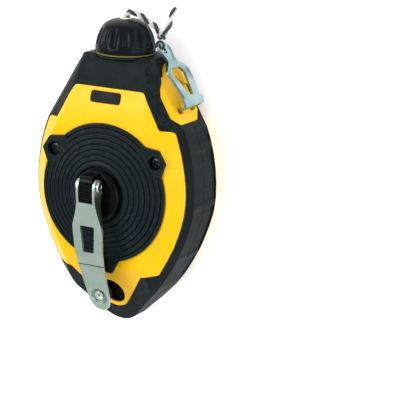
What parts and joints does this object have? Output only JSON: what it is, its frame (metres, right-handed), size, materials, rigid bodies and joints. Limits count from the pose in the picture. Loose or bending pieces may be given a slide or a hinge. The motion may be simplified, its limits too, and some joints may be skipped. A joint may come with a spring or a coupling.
{
  "type": "chalk line reel",
  "caption": "Hand-held chalk line reel: two-part case with rubber grips, folding geared crank, screw-on line cap and a sheet metal end hook parked on its shoulder.",
  "frame": {"origin": "where the reel axis meets the flat rear face", "axes": "+Z out of the front face along the reel axis, +Y from the nose to the line cap, +X to the side the hook is parked on"},
  "size_m": [0.0856, 0.1517, 0.0583],
  "materials": {
    "yellow_abs": "satin moulded plastic",
    "black_rubber": "matt overmoulded rubber",
    "black_plastic": "fine moulded texture",
    "gear_plastic": "natural acetal",
    "cream_plastic": "smooth",
    "gasket": "matt",
    "felt": "pressed felt",
    "line": "twisted cord, one light and one dark strand",
    "steel": "bright",
    "crank_steel": "satin plated",
    "zinc": "zinc plated"
  },
  "bodies": {
    "case": {"front_shell": "yellow_abs", "front_grip": "black_rubber", "rear_shell": "yellow_abs", "rear_grip": "black_rubber", "hook_dock": "yellow_abs", "knob_socket": "black_rubber", "label_plate": "black_plastic", "neck_collar": "black_plastic", "gear_cover": "black_plastic", "ring_gear": "gear_plastic", "cover_screw_1": "steel", "cover_screw_2": "steel", "cover_screw_3": "steel", "case_screw_1": "steel", "case_screw_2": "steel", "case_screw_3": "steel", "case_screw_4": "steel", "case_screw_5": "steel", "case_screw_6": "steel", "reel_axle": "steel", "dust_seal": "felt", "inner_line": "line"},
    "crank": {"crank_hub": "black_plastic", "hub_screw": "steel", "planet_carrier": "steel", "planet_pin_1": "steel", "planet_pin_2": "steel", "planet_pin_3": "steel"},
    "crank_arm": {"crank_arm": "crank_steel", "crank_pin": "steel", "knob_rivet": "steel"},
    "knob": {"knob": "black_plastic"},
    "reel": {"reel_spool": "gear_plastic", "wound_line": "line", "sun_gear": "gear_plastic"},
    "planet_1": {"planet_gear_1": "gear_plastic"},
    "planet_2": {"planet_gear_2": "gear_plastic"},
    "planet_3": {"planet_gear_3": "gear_plastic"},
    "line_guide": {"line_bushing": "cream_plastic", "felt_wiper": "felt"},
    "line_cap": {"line_cap": "black_plastic", "cap_gasket": "gasket"},
    "hook": {"line_hook": "zinc", "line_lead": "line", "line_tail": "line", "line_knot": "line"}
  },
  "joints": [
    {"name": "crank_spin", "type": "hinge", "parent": "case", "child": "crank", "pos_m": [0, 0, 0.045], "axis": [0, 0, 1], "continuous": true},
    {"name": "crank_fold", "type": "hinge", "parent": "crank", "child": "crank_arm", "pos_m": [0, 0.0061, 0.0546], "axis": [-1, 0, 0], "range_deg": [0, 180]},
    {"name": "knob_spin", "type": "hinge", "parent": "crank_arm", "child": "knob", "pos_m": [0, -0.0494, 0.04468], "axis": [0, -0.4066, 0.9136], "continuous": true},
    {"name": "reel_spin", "type": "hinge", "parent": "case", "child": "reel", "pos_m": [0, 0, 0.018], "axis": [0, 0, 1], "continuous": true},
    {"name": "planet_1_spin", "type": "hinge", "parent": "crank", "child": "planet_1", "pos_m": [0, 0.015, 0.0375], "axis": [0, 0, 1], "continuous": true},
    {"name": "planet_2_spin", "type": "hinge", "parent": "crank", "child": "planet_2", "pos_m": [-0.01299, -0.0075, 0.0375], "axis": [0, 0, 1], "continuous": true},
    {"name": "planet_3_spin", "type": "hinge", "parent": "crank", "child": "planet_3", "pos_m": [0.01299, -0.0075, 0.0375], "axis": [0, 0, 1], "continuous": true},
    {"name": "cap_travel", "type": "slide", "parent": "case", "child": "line_guide", "axis": [0, 1, 0], "range_m": [0, 0.006]},
    {"name": "cap_turn", "type": "hinge", "parent": "line_guide", "child": "line_cap", "pos_m": [0, 0.072, 0.024], "axis": [0, 1, 0], "range_deg": [0, 720], "deforming": ["line_lead", "line_knot"]},
    {"name": "hook_lift", "type": "slide", "parent": "case", "child": "hook", "axis": [0.859, 0.512, 0], "range_m": [0, 0.012]}
  ],
  "couplings": [
    {"joint": "reel_spin", "follows": "crank_spin", "ratio": 5},
    {"joint": "planet_1_spin", "follows": "crank_spin", "ratio": -2.6667},
    {"joint": "planet_2_spin", "follows": "crank_spin", "ratio": -2.6667},
    {"joint": "planet_3_spin", "follows": "crank_spin", "ratio": -2.6667},
    {"joint": "cap_travel", "follows": "cap_turn", "m_per_rad": 0.00047746}
  ]
}
